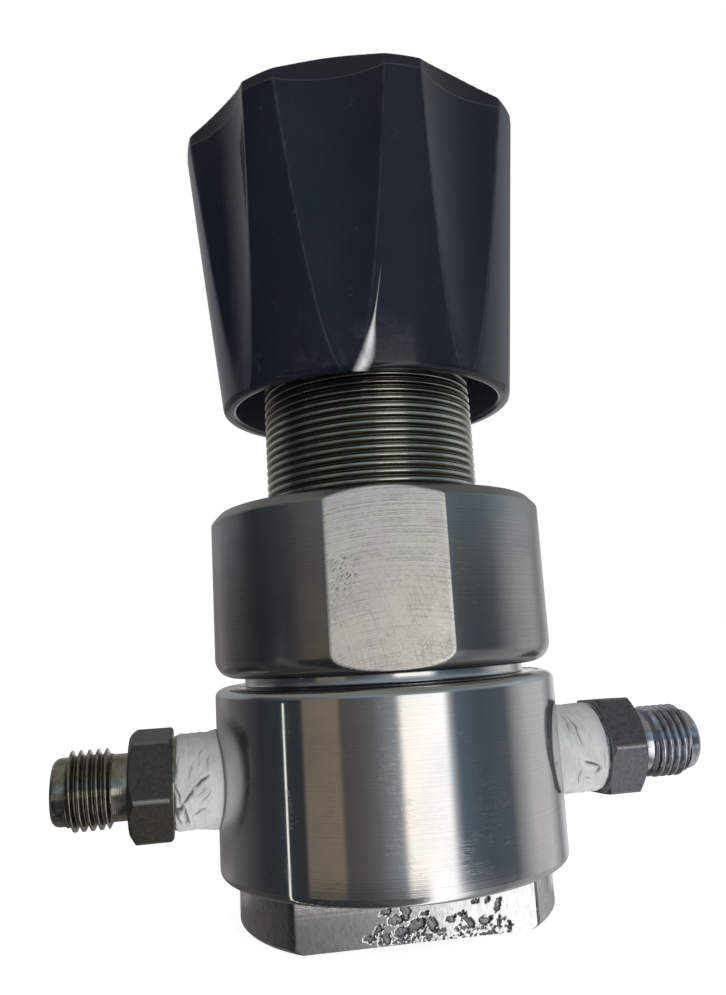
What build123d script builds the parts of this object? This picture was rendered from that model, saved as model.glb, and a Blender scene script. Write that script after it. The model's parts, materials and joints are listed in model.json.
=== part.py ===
from build123d import *
import math
import os

# Hand-set back-pressure regulator (a spring-loaded flow control valve).
# Millimetres. Origin: centre of the base cap's bottom face. +Z runs up the
# valve's axis to the knob, X runs along the two ports, inlet at -X, outlet at +X.

os.makedirs("parts", exist_ok=True)

# ---- driving dimensions -------------------------------------------------
BASE_H = 7.4                 # height of the base cap's head
BASE_R = 24.2
BASE_FLAT = 17.35            # axis to each wrench flat of the base cap
BODY_H = 27.5
BODY_R = 27.0
PORT_RISE = 13.86            # port axis above the body's bottom face
BONNET_R = 26.9
BONNET_H = 25.9
BONNET_FLAT = 25.55          # axis to each wrench flat of the bonnet
BONNET_TURN = 8.0            # degrees the bonnet's flats stand off the port line
SLEEVE_R = 17.46             # 1-3/8 in panel thread, major radius
KNOB_RIM_GAP = 17.3          # bonnet top to knob rim with the spring slack
KNOB_H = 48.8
KNOB_RIM_R = 24.3
KNOB_TOP_R = 29.13           # over the lobes, at the moulding line
KNOB_LINE = 44.9             # rim to the moulding line; the wall is upright above it
KNOB_SHOULDER = 46.6         # rim to where the top starts to slope in
KNOB_LOBES = 8
KNOB_TURN = -17.0            # degrees from the front to the nearest flute
SCREW_R = 5.95               # adjusting screw, 24 threads per inch
HEX_AF = 15.0                # fitting hexagon, across its flats
TUBE_R = 3.22                # socket for 1/4 in tube
FIT_THREAD_R = 5.85          # fitting thread, 20 threads per inch, over its crests
FIT_NECK_R = 4.9
NPT_R = 6.85                 # 1/4 in tapered pipe thread, at its large end
INLET_HEX = 33.6             # valve axis to the inner face of each fitting's hex
OUTLET_HEX = 34.9
INLET_HEX_TURN = 22.0        # degrees each hexagon stands round from a corner down
OUTLET_HEX_TURN = 25.8

RUN = 0.05                   # radial running clearance
GAP = 0.3                    # clearance between moving and fixed faces
LIFT = 0.8                   # sensing piston's travel

# ---- heights worked out from them ---------------------------------------
BODY_TOP = BASE_H + BODY_H
PORT_Z = BASE_H + PORT_RISE
NECK_TOP = BODY_TOP + 1.3
BONNET_Z = NECK_TOP + 0.1
BONNET_TOP = BONNET_Z + BONNET_H
KNOB_Z = BONNET_TOP + KNOB_RIM_GAP
KNOB_TOP = KNOB_Z + KNOB_H

NECK_R = 22.3
NECK_THREAD_R = 21.6
THREAD_TOP = BODY_TOP + 11.1  # top of the body's male thread
GUIDE_Z = 31.0               # shoulder that the piston guide stands on
GUIDE_R = 18.0
GUIDE_TOP = 41.0
PISTON_R = 13.0
PISTON_Z = 31.4
PISTON_TOP = 39.5
CHAMBER_Z = 29.0
CHAMBER_R = 12.5
SEAT_Z = 24.6
SEAT_TOP = 27.0
SEAT_R = 6.0
SEAT_BORE = 2.5
CAGE_R = 8.0
CAGE_Z = 14.0
CAGE_FLOOR = 15.5
PLUG_R = 12.0
SPRING_Z = 42.0              # foot of the load spring
SPRING_TOP = 76.0
SLEEVE_TOP = 100.5
SLEEVE_BORE = 12.9
SLEEVE_ROOF = 90.5           # underside of the sleeve's threaded top wall
FLANGE_Z = THREAD_TOP + GAP
FLANGE_TOP = FLANGE_Z + 3.2
SHOULDER_Z = FLANGE_TOP + 1.0
BALL_R = 3.0                 # thrust ball between the screw and the spring button
BALL_Z = SPRING_TOP + 6.2
SCREW_TIP = BALL_Z + 1.2
SCREW_NECK_R = 4.5           # screw below its thread, inside the stop collar
COLLAR_Z = SLEEVE_ROOF - 3.2
COLLAR_TOP = SLEEVE_ROOF - 0.4
HUB_Z = 114.0                # ceiling of the hollow under the knob
INSERT_R = 9.0
INSERT_TOP = 120.0
CAP_Z = 124.6
CAP_R = 9.5
BUTTON_R = 12.4              # flange of each spring button
BUTTON_NOSE_R = 8.0          # and its nose inside the spring
PASSAGE_R = 2.4              # flow passages in the body and fittings
FILTER_R = 5.0


def turned(*points):
    """A solid turned about the Z axis from an outline of (radius, height) points."""
    outline = make_face(Polyline(*[(r, 0, z) for r, z in points], close=True))
    return revolve(outline, Axis.Z)


def rod(radius, z0, z1, x=0.0, y=0.0):
    """A round bar standing between two heights."""
    height = z1 - z0
    return Pos(x, y, z0 + height / 2) * Cylinder(radius, height)


def tube(outer, inner, z0, z1):
    """A plain ring between two heights."""
    return rod(outer, z0, z1) - rod(inner, z0 - 1, z1 + 1)


def along_x(shape):
    """Lay a shape built along +Z down along +X at the height of the ports."""
    return Pos(0, 0, PORT_Z) * Rot(0, 90, 0) * shape


def drill_x(radius, x0, x1):
    """A round bar along X on the port axis."""
    return along_x(rod(radius, x0, x1))


def ring_seal(mean_r, wire_r, z):
    """An O-ring lying flat at a height."""
    return Pos(0, 0, z) * Torus(mean_r, wire_r)


def coil(mean_r, wire_r, z0, z1, turns):
    """A helical compression spring that just fills the space between two heights."""
    rise = z1 - z0 - 2 * wire_r
    path = Helix(pitch=rise / turns, height=rise, radius=mean_r)
    section = Plane(origin=path @ 0, z_dir=path % 0) * Circle(wire_r)
    return Pos(0, 0, z0 + wire_r) * sweep(section, path=path, is_frenet=True)


def two_flats(shape, distance, z0, z1, turn=0.0):
    """Mill two parallel wrench flats, front and back, over a band of height."""
    reach = 60.0
    for side in (-1, 1):
        block = Pos(0, side * (distance + reach / 2), (z0 + z1) / 2) * Box(2 * reach, reach, z1 - z0)
        shape = shape - Rot(0, 0, turn) * block
    return shape


# ---- body and base ------------------------------------------------------
def make_body():
    steps = [math.radians(7.5 * i) for i in range(13)]
    top_edge = [(BODY_R - 2.0 * (1 - math.cos(t)), BODY_TOP - 1.35 * (1 - math.sin(t))) for t in steps]
    body = turned(
        (0, BASE_H), (BODY_R - 0.5, BASE_H), (BODY_R, BASE_H + 0.5),
        *top_edge, (BODY_R - 2.2, BODY_TOP - 0.15), (BODY_R - 2.5, BODY_TOP - 0.15),
        (BODY_R - 2.7, BODY_TOP), (NECK_R + 1.0, BODY_TOP + 0.1), (NECK_R + 0.4, BODY_TOP + 0.4),
        (NECK_R + 0.1, BODY_TOP + 0.8), (NECK_R, BODY_TOP + 1.1), (NECK_R, NECK_TOP),
        (NECK_THREAD_R, NECK_TOP), (NECK_THREAD_R, THREAD_TOP - 0.8),
        (NECK_THREAD_R - 0.8, THREAD_TOP), (0, THREAD_TOP),
    )
    body -= rod(PLUG_R + RUN, BASE_H - 1, CAGE_Z)
    body -= rod(PLUG_R + 2.6, BASE_H - 1, BASE_H + 1.6)
    body -= rod(CAGE_R + RUN, CAGE_Z - 1, SEAT_Z)
    body -= rod(SEAT_R + RUN, SEAT_Z - 1, SEAT_TOP)
    body -= rod(4.5, SEAT_TOP - 1, CHAMBER_Z + 1)
    body -= rod(CHAMBER_R, CHAMBER_Z, GUIDE_Z + 1)
    body -= rod(GUIDE_R + RUN, GUIDE_Z, THREAD_TOP + 1)
    body -= tube(16.4, 14.6, GUIDE_Z - 1.6, GUIDE_Z + 0.5)
    for side in (-1, 1):
        near, far = sorted((side * 14.0, side * (BODY_R + 2)))
        body -= drill_x(NPT_R + RUN, near, far)
    body -= drill_x(FILTER_R + RUN, -15.0, -12.4)
    body -= drill_x(PASSAGE_R, -13.0, -9.6)
    body -= rod(1.6, PORT_Z, CHAMBER_Z + 1, x=-10.5)
    body -= drill_x(PASSAGE_R, 6.0, 15.0)
    return body


def make_base_cap():
    head = turned((0, 0), (BASE_R - 0.6, 0), (BASE_R, 0.6), (BASE_R, BASE_H - 0.3), (BASE_R - 0.3, BASE_H),
                  (0, BASE_H))
    head = two_flats(head, BASE_FLAT, -1, BASE_H + 1, turn=-2.3)
    plug = rod(PLUG_R, BASE_H - 1, CAGE_Z - 0.05)
    return head + plug


def make_seat_cage():
    cage = rod(CAGE_R, CAGE_Z, SEAT_Z) - rod(5.0, CAGE_FLOOR, SEAT_Z + 1)
    for turn in (0, 90):
        cage -= Pos(0, 0, PORT_Z) * Rot(0, 0, turn) * Rot(0, 90, 0) * Cylinder(2.0, 2 * CAGE_R + 2)
    return cage


def make_valve_seat():
    return tube(SEAT_R, SEAT_BORE, SEAT_Z + 0.02, SEAT_TOP - 0.02)


# ---- parts that lift with the inlet pressure ------------------------------
def make_poppet():
    """Stem with a cone that closes the seat from above and a tail for its spring."""
    return turned(
        (0, 18.0), (1.1, 18.0), (1.1, 22.0), (2.2, 22.0), (2.2, 23.0), (1.1, 23.0),
        (1.1, SEAT_TOP - 1.0), (SEAT_BORE - 0.35, SEAT_TOP - 0.35), (SEAT_BORE + 1.15, SEAT_TOP + 1.15),
        (SEAT_BORE + 1.15, SEAT_TOP + 2.4), (1.9, SEAT_TOP + 2.4), (1.9, PISTON_Z + 3.0), (0, PISTON_Z + 3.0),
    )


def make_piston():
    piston = rod(PISTON_R, PISTON_Z, PISTON_TOP) - rod(2.0, PISTON_Z - 1, PISTON_Z + 3.0)
    return piston - tube(PISTON_R + 1, 11.35, 34.0, 37.0)


def make_backup_ring():
    return tube(PISTON_R, 11.4, 36.05, 36.95)


def make_lower_button():
    return turned(
        (0, PISTON_TOP), (BUTTON_R, PISTON_TOP), (BUTTON_R, SPRING_Z), (BUTTON_NOSE_R, SPRING_Z),
        (BUTTON_NOSE_R, SPRING_Z + 2.4), (BUTTON_NOSE_R - 0.6, SPRING_Z + 3.0), (0, SPRING_Z + 3.0),
    )


# ---- spring housing ------------------------------------------------------
def make_piston_guide():
    return tube(GUIDE_R, PISTON_R + RUN, GUIDE_Z, GUIDE_TOP)


def make_sleeve():
    outer = turned(
        (0, GUIDE_TOP), (GUIDE_R, GUIDE_TOP), (GUIDE_R, FLANGE_Z), (21.0, FLANGE_Z), (21.0, FLANGE_TOP),
        (SLEEVE_R, FLANGE_TOP), (SLEEVE_R, SLEEVE_TOP - 1.0), (SLEEVE_R - 1.0, SLEEVE_TOP), (0, SLEEVE_TOP),
    )
    stop_z = SPRING_Z + LIFT + 0.1
    outer -= rod(BUTTON_R + GAP, GUIDE_TOP - 1, stop_z)
    outer -= rod(SLEEVE_BORE - 0.6, stop_z - 0.5, stop_z + 1.5)
    outer -= rod(SLEEVE_BORE, stop_z + 1.5, SLEEVE_ROOF)
    return outer - rod(SCREW_R + RUN, SLEEVE_ROOF - 1, SLEEVE_TOP + 1)


def make_bonnet():
    foot = 3.0
    bulge = foot * (1 - math.sqrt(0.5))
    start = (NECK_THREAD_R + 0.1, 0, BONNET_Z)
    with_foot = [
        Line(start, (BONNET_R - foot, 0, BONNET_Z)),
        ThreePointArc((BONNET_R - foot, 0, BONNET_Z), (BONNET_R - bulge, 0, BONNET_Z + bulge),
                      (BONNET_R, 0, BONNET_Z + foot)),
        Polyline((BONNET_R, 0, BONNET_Z + foot), (BONNET_R, 0, BONNET_TOP - 1.6),
                 (BONNET_R - 1.45, 0, BONNET_TOP), (SLEEVE_R + 0.1, 0, BONNET_TOP),
                 (SLEEVE_R + 0.1, 0, SHOULDER_Z), (NECK_THREAD_R + 0.1, 0, SHOULDER_Z), start),
    ]
    bonnet = revolve(make_face(with_foot), Axis.Z)
    return two_flats(bonnet, BONNET_FLAT, BONNET_Z - 1, BONNET_TOP + 1, turn=-BONNET_TURN)


def make_slip_ring():
    return tube(20.8, SLEEVE_R + 0.3, FLANGE_TOP, SHOULDER_Z)


# ---- parts that follow the knob --------------------------------------------
def make_upper_button():
    button = turned(
        (0, SPRING_TOP - 3.0), (BUTTON_NOSE_R - 0.6, SPRING_TOP - 3.0), (BUTTON_NOSE_R, SPRING_TOP - 2.4),
        (BUTTON_NOSE_R, SPRING_TOP), (BUTTON_R, SPRING_TOP), (BUTTON_R, SPRING_TOP + 3.0),
        (6.0, SPRING_TOP + 5.0), (0, SPRING_TOP + 5.0),
    )
    return button - Pos(0, 0, BALL_Z) * Sphere(BALL_R + RUN)


def make_adjusting_screw():
    screw = turned(
        (0, SCREW_TIP), (SCREW_NECK_R - 0.5, SCREW_TIP), (SCREW_NECK_R, SCREW_TIP + 0.5),
        (SCREW_NECK_R, COLLAR_Z - 1.3), (SCREW_NECK_R - 0.6, COLLAR_Z - 1.3), (SCREW_NECK_R - 0.6, COLLAR_Z),
        (SCREW_NECK_R, COLLAR_Z), (SCREW_NECK_R, COLLAR_TOP), (SCREW_R, COLLAR_TOP + 0.3),
        (SCREW_R, INSERT_TOP), (0, INSERT_TOP),
    )
    screw -= Pos(0, 0, BALL_Z) * Sphere(BALL_R + RUN)
    return screw - rod(2.0, INSERT_TOP - 12.0, INSERT_TOP + 1)


def make_collar_clip():
    clip = tube(SCREW_NECK_R + 1.8, SCREW_NECK_R - 0.58, COLLAR_Z - 1.2, COLLAR_Z - 0.1)
    return clip - Pos(SCREW_NECK_R + 2, 0, COLLAR_Z - 0.65) * Box(8, 3.0, 2.0)


def make_knob():
    knob = turned(
        (0, KNOB_Z + 1), (KNOB_RIM_R - 2.2, KNOB_Z + 0.4), (KNOB_RIM_R - 1.8, KNOB_Z),
        (KNOB_RIM_R - 0.5, KNOB_Z), (KNOB_RIM_R, KNOB_Z + 0.5),
        (KNOB_TOP_R, KNOB_Z + KNOB_LINE), (KNOB_TOP_R, KNOB_Z + KNOB_SHOULDER - 0.3),
        (KNOB_TOP_R - 0.2, KNOB_Z + KNOB_SHOULDER), (25.6, KNOB_TOP - 0.1), (25.2, KNOB_TOP), (0, KNOB_TOP),
    )
    flute_r = 20.0
    lean = 2.2
    flute_low, flute_high = KNOB_Z + 0.6, KNOB_TOP
    middle = (flute_low + flute_high) / 2
    axis_low = KNOB_RIM_R + flute_r
    length = 80.0
    flute = Pos(0, -(axis_low + math.tan(math.radians(lean)) * (middle - flute_low)), middle)
    flute = flute * Rot(lean, 0, 0) * Cylinder(flute_r, length)
    for lobe in range(KNOB_LOBES):
        knob -= Rot(0, 0, KNOB_TURN + lobe * 360 / KNOB_LOBES) * flute
    knob -= rod(KNOB_RIM_R - 2.2, KNOB_Z - 1, HUB_Z)
    knob -= rod(INSERT_R + RUN, HUB_Z - 1, INSERT_TOP)
    knob -= rod(6.0, INSERT_TOP - 1, CAP_Z)
    return knob - rod(CAP_R + 0.1, CAP_Z, KNOB_TOP + 1)


def make_knob_insert():
    insert = tube(INSERT_R, SCREW_R + RUN, HUB_Z, INSERT_TOP)
    slots = 24
    notch = Pos(INSERT_R, 0, (HUB_Z + INSERT_TOP) / 2) * Rot(0, 0, 45) * Box(0.5, 0.5, INSERT_TOP - HUB_Z + 1)
    for slot in range(slots):
        insert -= Rot(0, 0, slot * 360 / slots) * notch
    return insert


def make_knob_screw():
    head = turned((0, INSERT_TOP), (5.2, INSERT_TOP), (5.2, CAP_Z - 0.7), (4.9, CAP_Z - 0.4), (0, CAP_Z - 0.4))
    socket = Pos(0, 0, CAP_Z - 0.4) * extrude(RegularPolygon(2.2, 6), -2.4)
    return head - socket + rod(1.95, INSERT_TOP - 10.0, INSERT_TOP + 0.5)


def make_knob_cap():
    return turned((0, CAP_Z), (CAP_R, CAP_Z), (CAP_R, KNOB_TOP - 0.5), (CAP_R - 0.3, KNOB_TOP - 0.2),
                  (0, KNOB_TOP - 0.2))


# ---- tube fittings ----------------------------------------------------------
def make_fitting(hex_at, hex_turn):
    """A straight male connector, built along +Z from the valve axis outwards."""
    hex_w, neck_w, thread_w, nose_w = 6.4, 2.4, 6.5, 2.2
    hex_end = hex_at + hex_w
    thread_at = hex_end + neck_w
    nose_at = thread_at + thread_w
    end = nose_at + nose_w
    corner_r = HEX_AF / math.sqrt(3)
    blank = Pos(0, 0, hex_at) * extrude(Rot(0, 0, hex_turn) * RegularPolygon(corner_r, 6), hex_w)
    ease = turned((0, hex_at), (HEX_AF / 2 + 0.45, hex_at), (corner_r, hex_at + 0.4),
                  (corner_r, hex_end - 0.9), (HEX_AF / 2 - 0.3, hex_end), (0, hex_end))
    turned_part = turned(
        (0, 14.2), (NPT_R - 0.6, 14.2), (NPT_R, 14.9), (NPT_R, hex_at), (FIT_NECK_R, hex_at + 1),
        (FIT_NECK_R, thread_at), (FIT_THREAD_R - 0.1, thread_at + 0.5), (FIT_THREAD_R, thread_at + 0.5),
        (FIT_THREAD_R, nose_at - 0.5), (FIT_NECK_R + 0.1, nose_at), (FIT_NECK_R + 0.03, end - 0.8),
        (FIT_NECK_R - 0.5, end), (0, end),
    )
    fitting = (blank & ease) + turned_part
    fitting -= rod(TUBE_R, hex_at + 2.3, end + 1)
    fitting -= rod(PASSAGE_R, 10, hex_at + 3)
    return fitting - turned((0, end - 2.0), (TUBE_R, end - 2.0), (4.1, end + 0.01), (4.1, end + 1), (0, end + 1))


def make_tape(hex_at):
    wrap = tube(7.35, NPT_R + 0.03, 20.0, hex_at - 0.1)
    return along_x(wrap)


def put_port(shape, side):
    """Lay a fitting built along +Z on the port line, to the outlet (1) or the inlet (-1)."""
    return along_x(shape) if side > 0 else Rot(0, 0, 180) * along_x(shape)


def trim_to_body(wrap):
    return wrap - rod(BODY_R + 0.03, BASE_H - 1, BODY_TOP + 1)


nodes = {
    "body": make_body(),
    "base_cap": make_base_cap(),
    "base_cap_oring": ring_seal(PLUG_R + 1.3, 0.8, BASE_H + 0.8),
    "seat_cage": make_seat_cage(),
    "valve_seat": make_valve_seat(),
    "poppet_spring": coil(1.7, 0.3, CAGE_FLOOR, 22.0, 6),
    "valve_poppet": make_poppet(),
    "sensing_piston": make_piston(),
    "piston_oring": ring_seal(12.18, 0.8, 34.95),
    "piston_backup_ring": make_backup_ring(),
    "piston_guide": make_piston_guide(),
    "guide_oring": ring_seal(15.5, 0.78, GUIDE_Z - 0.8),
    "lower_spring_button": make_lower_button(),
    "load_spring": coil(10.2, 1.45, SPRING_Z, SPRING_TOP, 5.5),
    "upper_spring_button": make_upper_button(),
    "thrust_ball": Pos(0, 0, BALL_Z) * Sphere(BALL_R),
    "threaded_sleeve": make_sleeve(),
    "bonnet": make_bonnet(),
    "bonnet_slip_ring": make_slip_ring(),
    "adjusting_screw": make_adjusting_screw(),
    "stop_collar": tube(9.0, SCREW_NECK_R + 0.03, COLLAR_Z, COLLAR_TOP),
    "collar_clip": make_collar_clip(),
    "knob": make_knob(),
    "knob_insert": make_knob_insert(),
    "knob_screw": make_knob_screw(),
    "knob_cap": make_knob_cap(),
    "inlet_filter": drill_x(FILTER_R, -13.95, -12.45),
    "inlet_fitting": put_port(make_fitting(INLET_HEX, INLET_HEX_TURN), -1),
    "outlet_fitting": put_port(make_fitting(OUTLET_HEX, OUTLET_HEX_TURN), 1),
    "inlet_tape": trim_to_body(Rot(0, 0, 180) * make_tape(INLET_HEX)),
    "outlet_tape": trim_to_body(make_tape(OUTLET_HEX)),
}

for name, shape in nodes.items():
    shape.label = name
    export_step(shape, f"parts/{name}.step")
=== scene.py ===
import bpy
import bmesh
import json
import math
from mathutils import Matrix, Vector, noise


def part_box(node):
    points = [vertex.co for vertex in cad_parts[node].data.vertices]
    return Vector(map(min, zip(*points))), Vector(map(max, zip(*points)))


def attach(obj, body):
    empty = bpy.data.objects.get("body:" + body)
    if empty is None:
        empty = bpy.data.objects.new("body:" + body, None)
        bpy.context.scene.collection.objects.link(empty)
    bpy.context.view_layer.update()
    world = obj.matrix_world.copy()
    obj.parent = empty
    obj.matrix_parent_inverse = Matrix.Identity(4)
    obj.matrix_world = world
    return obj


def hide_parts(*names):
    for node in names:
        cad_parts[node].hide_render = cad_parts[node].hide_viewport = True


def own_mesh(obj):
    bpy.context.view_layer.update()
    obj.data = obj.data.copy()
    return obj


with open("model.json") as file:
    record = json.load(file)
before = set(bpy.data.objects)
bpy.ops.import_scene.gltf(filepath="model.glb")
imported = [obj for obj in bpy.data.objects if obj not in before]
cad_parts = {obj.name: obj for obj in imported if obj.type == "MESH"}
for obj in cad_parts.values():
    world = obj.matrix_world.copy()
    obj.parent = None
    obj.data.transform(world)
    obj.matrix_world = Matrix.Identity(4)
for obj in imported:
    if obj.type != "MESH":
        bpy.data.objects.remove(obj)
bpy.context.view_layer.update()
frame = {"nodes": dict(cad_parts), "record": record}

# Looks of the hand-set pressure valve. Lengths are millimetres unless a name
# ends in _M; meshes are scaled to metres as they are made. Angles are degrees,
# measured round the valve's axis from its front (-Y) towards the outlet (+X).
MM = 0.001

# ---- camera ----
CAM_DISTANCE_M, CAM_HEIGHT_M = 0.14066, 0.04124
CAM_AROUND, CAM_PAN, CAM_TILT, CAM_ROLL = 11.46, 0.64, 9.47, -3.39
LENS = 30.56
SENSOR = 36.0


def node_box(name):
    """A CAD node's lowest and highest corners at rest, in millimetres."""
    low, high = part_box(name)
    return [v / MM for v in low], [v / MM for v in high]


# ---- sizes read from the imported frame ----
BASE_TOP = node_box("body")[0][2]
BONNET_LOW, BONNET_HIGH = node_box("bonnet")
BONNET_Z, BONNET_TOP = BONNET_LOW[2], BONNET_HIGH[2]
BONNET_R = BONNET_HIGH[0]
KNOB_LOW, KNOB_HIGH = node_box("knob")
KNOB_Z, KNOB_TOP = KNOB_LOW[2], KNOB_HIGH[2]
SLEEVE_Z, SLEEVE_TOP = node_box("threaded_sleeve")[0][2], node_box("threaded_sleeve")[1][2]
CAP_LOW, CAP_HIGH = node_box("knob_cap")
INSERT_LOW, INSERT_HIGH = node_box("knob_insert")
BASE_HIGH = node_box("base_cap")[1]
BASE_R = BASE_HIGH[0]
INLET_END = -node_box("inlet_fitting")[0][0]
OUTLET_END = node_box("outlet_fitting")[1][0]
PORT_Z = (node_box("inlet_tape")[0][2] + node_box("inlet_tape")[1][2]) / 2
BODY_R = node_box("body")[1][0]
BODY_WALL = 27.5
BODY_TOP = BASE_TOP + BODY_WALL


def sine(degrees):
    return math.sin(math.radians(degrees))


def cosine(degrees):
    return math.cos(math.radians(degrees))


def spin(degrees, axis):
    return Matrix.Rotation(math.radians(degrees), 4, axis)


# ---- mesh building ----
def smooth_min(a, b, width):
    """The smaller of two radii, with the corner between them rounded."""
    near = max(width - abs(a - b), 0.0) / width
    return min(a, b) - near * near * width / 4


def smooth_step(low, high, x):
    t = min(max((x - low) / (high - low), 0.0), 1.0)
    return t * t * (3 - 2 * t)


def rounded(points, radius, steps=3):
    """An open outline of (radius, height) with each inner corner turned into a small arc."""
    result = [points[0]]
    for before, corner, after in zip(points, points[1:], points[2:]):
        a, b, c = Vector(before[:2]), Vector(corner[:2]), Vector(after[:2])
        reach = corner[2] if len(corner) > 2 else radius
        reach = min(reach, 0.45 * (a - b).length, 0.45 * (c - b).length)
        start, end = b + (a - b).normalized() * reach, b + (c - b).normalized() * reach
        for i in range(steps + 1):
            t = i / steps
            result.append(tuple(start * (1 - t) ** 2 + b * 2 * t * (1 - t) + end * t * t))
    result.append(points[-1][:2])
    return result


def spread(points, step, low=-1e9, high=1e9):
    """Add rows to an outline so that none between two heights is longer than a step."""
    result = [points[0]]
    for a, b in zip(points, points[1:]):
        inside = low <= (a[1] + b[1]) / 2 <= high
        count = max(1, math.ceil(math.dist(a, b) / step)) if inside else 1
        for i in range(1, count + 1):
            t = i / count
            result.append((a[0] + (b[0] - a[0]) * t, a[1] + (b[1] - a[1]) * t))
    return result


def around(count):
    return [360 * i / count for i in range(count)]


def join_rows(bm, grid):
    """Join closed rows of vertices into quads."""
    for low, high in zip(grid, grid[1:]):
        for i in range(len(low)):
            j = (i + 1) % len(low)
            bm.faces.new((low[i], low[j], high[j], high[i]))


def sweep_rows(bm, rows, columns, place):
    """Closed rows of points joined into quads; place(row, column) gives a point."""
    grid = [[bm.verts.new(place(row, column)) for column in columns] for row in rows]
    join_rows(bm, grid)
    return grid


def polar(radius, angle, z):
    t = math.radians(angle)
    return Vector((radius * math.sin(t), -radius * math.cos(t), z))


def lathe(bm, outline, columns, shape=None):
    """Turn an outline about Z. shape(radius, height, angle) may reshape it as it goes round."""
    def place(row, angle):
        radius, z = row
        if shape:
            radius, z = shape(radius, z, angle)
        return polar(radius, angle, z)
    return sweep_rows(bm, outline, columns, place)


def screw_thread(bm, columns, z0, z1, pitch, profile, end_r, lead=1.0, phase=0.0):
    """A helical thread between two heights. profile lists (fraction of a pitch, radius)."""
    per_turn = len(profile)
    count = len(columns)
    turns = math.ceil((z1 - z0) / pitch) + 2
    rows = []
    for turn in range(turns + 1):
        for fraction, radius in profile:
            rows.append((z0 + (turn + fraction) * pitch, radius))
    grid = []
    for base, radius in rows:
        line = []
        for angle in columns:
            z = min(max(base + pitch * (angle / 360 - 1 - phase), z0), z1)
            fade = smooth_step(0, lead * pitch, z - z0) * smooth_step(0, lead * pitch, z1 - z)
            line.append(bm.verts.new(polar(end_r + (radius - end_r) * fade, angle, z)))
        grid.append(line)
    for row in range(len(rows) - 1):
        for i in range(count - 1):
            bm.faces.new((grid[row][i], grid[row][i + 1], grid[row + 1][i + 1], grid[row + 1][i]))
        if row + per_turn + 1 < len(rows):
            bm.faces.new((grid[row][-1], grid[row + per_turn][0], grid[row + per_turn + 1][0],
                          grid[row + 1][-1]))


def make_object(bm, name):
    mesh = bpy.data.meshes.new(name)
    bm.to_mesh(mesh)
    bm.free()
    return link(bpy.data.objects.new(name, mesh))


def link(thing):
    bpy.context.scene.collection.objects.link(thing)
    return thing


def finish_mesh(bm, name, body, look, nodes=(), place=None):
    """Weld, scale to metres, make the object, give it its look, hang it under its body and hide the CAD nodes
    it replaces.
    """
    bmesh.ops.remove_doubles(bm, verts=bm.verts, dist=0.0008)
    bmesh.ops.dissolve_degenerate(bm, edges=bm.edges, dist=0.0004)
    loose = [v for v in bm.verts if not v.link_faces]
    bmesh.ops.delete(bm, geom=loose, context="VERTS")
    bmesh.ops.recalc_face_normals(bm, faces=bm.faces)
    if place:
        bm.transform(place)
    bm.transform(Matrix.Scale(MM, 4))
    for face in bm.faces:
        face.smooth = True
    piece = make_object(bm, name)
    piece.data.materials.append(look)
    weighted = piece.modifiers.new("weighted normals", "WEIGHTED_NORMAL")
    weighted.weight = 60
    weighted.keep_sharp = True
    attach(piece, body)
    if nodes:
        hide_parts(*nodes)
    return piece


# ---- node materials ----
class Nodes:
    """A node tree, and short ways to add to it."""

    def __init__(self, tree):
        self.tree = tree

    def set(self, node, values):
        for key, value in values.items():
            socket = node.inputs[key]
            if isinstance(value, bpy.types.NodeSocket):
                self.tree.links.new(value, socket)
            elif socket.type == "RGBA":
                socket.default_value = tuple(value)[:3] + (1.0,)
            else:
                socket.default_value = value

    def add(self, kind, values=None, **settings):
        node = self.tree.nodes.new("ShaderNode" + kind)
        for key, value in settings.items():
            setattr(node, key, value)
        self.set(node, values or {})
        return node

    def math(self, operation, *values):
        return self.add("Math", dict(enumerate(values)), operation=operation).outputs[0]

    def plus(self, a, b):
        return self.math("ADD", a, b)

    def minus(self, a, b):
        return self.math("SUBTRACT", a, b)

    def times(self, a, b):
        return self.math("MULTIPLY", a, b)

    def absolute(self, a):
        return self.math("ABSOLUTE", a)

    def hypot(self, a, b):
        return self.math("SQRT", self.plus(self.times(a, a), self.times(b, b)))

    def ramp(self, value, low, high, from_value=0.0, to_value=1.0):
        """Remap a value smoothly, held between its ends."""
        values = {"Value": value, "From Min": low, "From Max": high, "To Min": from_value, "To Max": to_value}
        return self.add("MapRange", values, interpolation_type="SMOOTHSTEP").outputs[0]

    def mark(self, name):
        return self.add("Attribute", attribute_name=name).outputs["Fac"]

    def mix(self, factor, a, b):
        return self.add("Mix", {0: factor, 6: a, 7: b}, data_type="RGBA").outputs[2]

    def mix_value(self, factor, a, b):
        return self.add("Mix", {0: factor, 2: a, 3: b}, data_type="FLOAT").outputs[0]


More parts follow.
